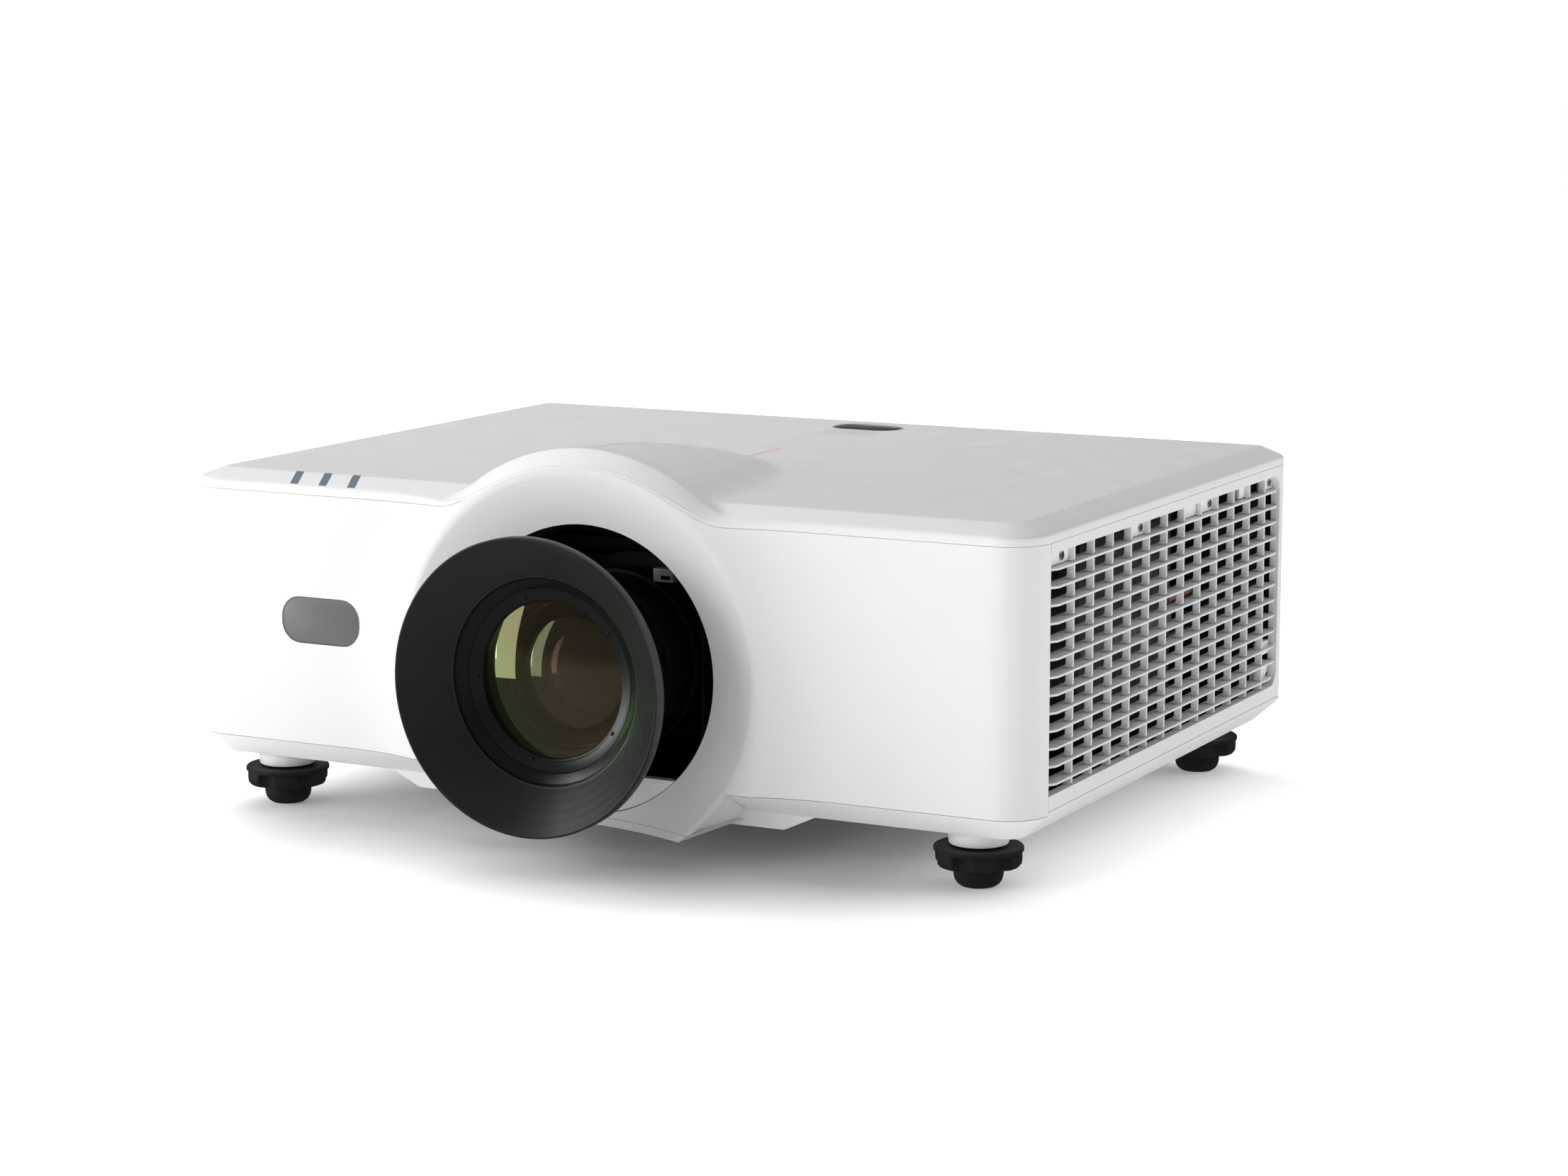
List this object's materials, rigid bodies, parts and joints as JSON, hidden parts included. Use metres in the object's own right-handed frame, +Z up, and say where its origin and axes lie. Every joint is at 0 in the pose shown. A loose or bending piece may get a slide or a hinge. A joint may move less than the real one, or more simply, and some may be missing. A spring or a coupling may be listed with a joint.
{
  "type": "home projector",
  "caption": "White lens-shift home projector: dished lens ring, hooded zoom lens, side exhaust grille, filter door, levelling feet, rear ports and keypad.",
  "frame": {"origin": "on the resting plane under the foot pads, at the middle of the overall length and width", "axes": "+X to the exhaust grille side, +Y from the lens to the rear panel, +Z up"},
  "size_m": [0.484, 0.408, 0.2047],
  "materials": {
    "white_plastic": "satin, fine grain",
    "black_plastic": "matt, fine turning marks on the hood",
    "black_rubber": "matt",
    "black_metal": "black anodised",
    "black_aluminium": "black anodised",
    "power_unit": "thin steel cage round a light filled unit",
    "grey_plastic": "satin",
    "smoked_plastic": "smoked, smooth",
    "light_pipe": "frosted blue-grey",
    "lens_glass": "coated, green and amber reflections",
    "aluminium": "machined",
    "steel": "plain sheet",
    "copper": "bare copper",
    "circuit_board": "green solder mask",
    "filter_foam": "pleated paper"
  },
  "bodies": {
    "chassis": {"top_cover": "white_plastic", "front_panel": "white_plastic", "base_tray": "white_plastic", "right_side_panel": "white_plastic", "right_grille": "white_plastic", "left_side_panel": "white_plastic", "air_filter": "filter_foam", "rear_panel": "white_plastic", "front_ir_window": "smoked_plastic", "top_ir_window": "smoked_plastic", "status_light_pipes": "light_pipe", "lens_bay_shroud": "black_plastic", "light_engine": "black_aluminium", "laser_heatsink": "aluminium", "laser_module": "black_aluminium", "heat_pipe_1": "copper", "heat_pipe_2": "copper", "fan_frame": "black_plastic", "main_board": "circuit_board", "power_supply": "power_unit", "connector_plate": "black_metal", "hdmi_port_1": "steel", "hdmi_port_2": "steel", "lan_port": "steel", "serial_port": "steel", "ac_inlet": "black_plastic", "keypad_panel": "grey_plastic"},
    "shift_carriage": {"shift_carriage": "steel"},
    "lens_mount": {"lens_mount_plate": "aluminium", "lens_barrel": "black_aluminium", "lens_hood": "black_plastic", "front_lens": "lens_glass", "lens_retaining_ring": "black_aluminium", "focus_motor": "aluminium", "zoom_motor": "aluminium"},
    "focus_ring": {"focus_ring": "black_aluminium"},
    "zoom_ring": {"zoom_ring": "black_aluminium"},
    "focus_pinion": {"focus_pinion": "steel"},
    "zoom_pinion": {"zoom_pinion": "steel"},
    "lens_release_button": {"lens_release_button": "grey_plastic"},
    "filter_cover": {"filter_cover": "white_plastic"},
    "fan_rotor": {"fan_rotor": "black_plastic"},
    "phosphor_wheel": {"phosphor_wheel": "aluminium"},
    "power_switch": {"power_switch": "black_plastic"},
    "power_button": {"power_button": "white_plastic"},
    "source_button": {"source_button": "white_plastic"},
    "menu_button": {"menu_button": "white_plastic"},
    "up_button": {"up_button": "white_plastic"},
    "down_button": {"down_button": "white_plastic"},
    "left_button": {"left_button": "white_plastic"},
    "right_button": {"right_button": "white_plastic"},
    "enter_button": {"enter_button": "white_plastic"},
    "front_left_foot_pad": {"front_left_foot_pad": "black_rubber"},
    "front_left_foot_knob": {"front_left_foot_knob": "black_rubber"},
    "front_right_foot_pad": {"front_right_foot_pad": "black_rubber"},
    "front_right_foot_knob": {"front_right_foot_knob": "black_rubber"},
    "rear_left_foot_pad": {"rear_left_foot_pad": "black_rubber"},
    "rear_left_foot_knob": {"rear_left_foot_knob": "black_rubber"},
    "rear_right_foot_pad": {"rear_right_foot_pad": "black_rubber"},
    "rear_right_foot_knob": {"rear_right_foot_knob": "black_rubber"}
  },
  "joints": [
    {"name": "front_left_foot_slide", "type": "slide", "parent": "chassis", "child": "front_left_foot_pad", "axis": [0, 0, -1], "range_m": [0, 0.01]},
    {"name": "front_left_foot_turn", "type": "hinge", "parent": "front_left_foot_pad", "child": "front_left_foot_knob", "pos_m": [-0.202, -0.1143, 0.015], "axis": [0, 0, 1], "range_deg": [0, 2880]},
    {"name": "front_right_foot_slide", "type": "slide", "parent": "chassis", "child": "front_right_foot_pad", "axis": [0, 0, -1], "range_m": [0, 0.01]},
    {"name": "front_right_foot_turn", "type": "hinge", "parent": "front_right_foot_pad", "child": "front_right_foot_knob", "pos_m": [0.202, -0.1143, 0.015], "axis": [0, 0, 1], "range_deg": [0, 2880]},
    {"name": "rear_left_foot_slide", "type": "slide", "parent": "chassis", "child": "rear_left_foot_pad", "axis": [0, 0, -1], "range_m": [0, 0.01]},
    {"name": "rear_left_foot_turn", "type": "hinge", "parent": "rear_left_foot_pad", "child": "rear_left_foot_knob", "pos_m": [-0.202, 0.182, 0.015], "axis": [0, 0, 1], "range_deg": [0, 2880]},
    {"name": "rear_right_foot_slide", "type": "slide", "parent": "chassis", "child": "rear_right_foot_pad", "axis": [0, 0, -1], "range_m": [0, 0.01]},
    {"name": "rear_right_foot_turn", "type": "hinge", "parent": "rear_right_foot_pad", "child": "rear_right_foot_knob", "pos_m": [0.202, 0.182, 0.015], "axis": [0, 0, 1], "range_deg": [0, 2880]},
    {"name": "lens_shift_vertical", "type": "slide", "parent": "chassis", "child": "shift_carriage", "axis": [0, 0, 1], "range_m": [-0.006, 0.006]},
    {"name": "lens_shift_horizontal", "type": "slide", "parent": "shift_carriage", "child": "lens_mount", "axis": [1, 0, 0], "range_m": [-0.003, 0.003]},
    {"name": "focus_turn", "type": "hinge", "parent": "lens_mount", "child": "focus_ring", "pos_m": [0, -0.133, 0.094], "axis": [0, 1, 0], "range_deg": [-30, 30]},
    {"name": "focus_drive", "type": "hinge", "parent": "lens_mount", "child": "focus_pinion", "pos_m": [-0.0396, -0.135, 0.0544], "axis": [0, 1, 0], "range_deg": [-180, 180]},
    {"name": "zoom_turn", "type": "hinge", "parent": "lens_mount", "child": "zoom_ring", "pos_m": [0, -0.106, 0.094], "axis": [0, 1, 0], "range_deg": [-30, 30]},
    {"name": "zoom_drive", "type": "hinge", "parent": "lens_mount", "child": "zoom_pinion", "pos_m": [-0.0396, -0.108, 0.0544], "axis": [0, 1, 0], "range_deg": [-180, 180]},
    {"name": "lens_release_press", "type": "slide", "parent": "chassis", "child": "lens_release_button", "axis": [0, 1, 0], "range_m": [0, 0.003], "stiffness_N_per_m": 400, "springref_m": -0.003},
    {"name": "filter_cover_hinge", "type": "hinge", "parent": "chassis", "child": "filter_cover", "pos_m": [-0.2408, 0.04, 0.0632], "axis": [0, -1, 0], "range_deg": [0, 85]},
    {"name": "fan_spin", "type": "hinge", "parent": "chassis", "child": "fan_rotor", "pos_m": [0.112, 0.026, 0.1], "axis": [1, 0, 0], "continuous": true},
    {"name": "phosphor_wheel_spin", "type": "hinge", "parent": "chassis", "child": "phosphor_wheel", "pos_m": [-0.03, 0.031, 0.108], "axis": [0, 1, 0], "continuous": true},
    {"name": "power_switch_rock", "type": "hinge", "parent": "chassis", "child": "power_switch", "pos_m": [0.206, 0.201, 0.074], "axis": [1, 0, 0], "range_deg": [0, 12]},
    {"name": "power_press", "type": "slide", "parent": "chassis", "child": "power_button", "axis": [0, -1, 0], "range_m": [0, 0.001], "stiffness_N_per_m": 500, "springref_m": -0.002},
    {"name": "source_press", "type": "slide", "parent": "chassis", "child": "source_button", "axis": [0, -1, 0], "range_m": [0, 0.001], "stiffness_N_per_m": 500, "springref_m": -0.002},
    {"name": "menu_press", "type": "slide", "parent": "chassis", "child": "menu_button", "axis": [0, -1, 0], "range_m": [0, 0.001], "stiffness_N_per_m": 500, "springref_m": -0.002},
    {"name": "up_press", "type": "slide", "parent": "chassis", "child": "up_button", "axis": [0, -1, 0], "range_m": [0, 0.001], "stiffness_N_per_m": 500, "springref_m": -0.002},
    {"name": "down_press", "type": "slide", "parent": "chassis", "child": "down_button", "axis": [0, -1, 0], "range_m": [0, 0.001], "stiffness_N_per_m": 500, "springref_m": -0.002},
    {"name": "left_press", "type": "slide", "parent": "chassis", "child": "left_button", "axis": [0, -1, 0], "range_m": [0, 0.001], "stiffness_N_per_m": 500, "springref_m": -0.002},
    {"name": "right_press", "type": "slide", "parent": "chassis", "child": "right_button", "axis": [0, -1, 0], "range_m": [0, 0.001], "stiffness_N_per_m": 500, "springref_m": -0.002},
    {"name": "enter_press", "type": "slide", "parent": "chassis", "child": "enter_button", "axis": [0, -1, 0], "range_m": [0, 0.001], "stiffness_N_per_m": 500, "springref_m": -0.002}
  ],
  "couplings": [
    {"joint": "front_left_foot_slide", "follows": "front_left_foot_turn", "m_per_rad": 0.00019894},
    {"joint": "front_right_foot_slide", "follows": "front_right_foot_turn", "m_per_rad": 0.00019894},
    {"joint": "rear_left_foot_slide", "follows": "rear_left_foot_turn", "m_per_rad": 0.00019894},
    {"joint": "rear_right_foot_slide", "follows": "rear_right_foot_turn", "m_per_rad": 0.00019894},
    {"joint": "focus_drive", "follows": "focus_turn", "ratio": -6},
    {"joint": "zoom_drive", "follows": "zoom_turn", "ratio": -6}
  ]
}
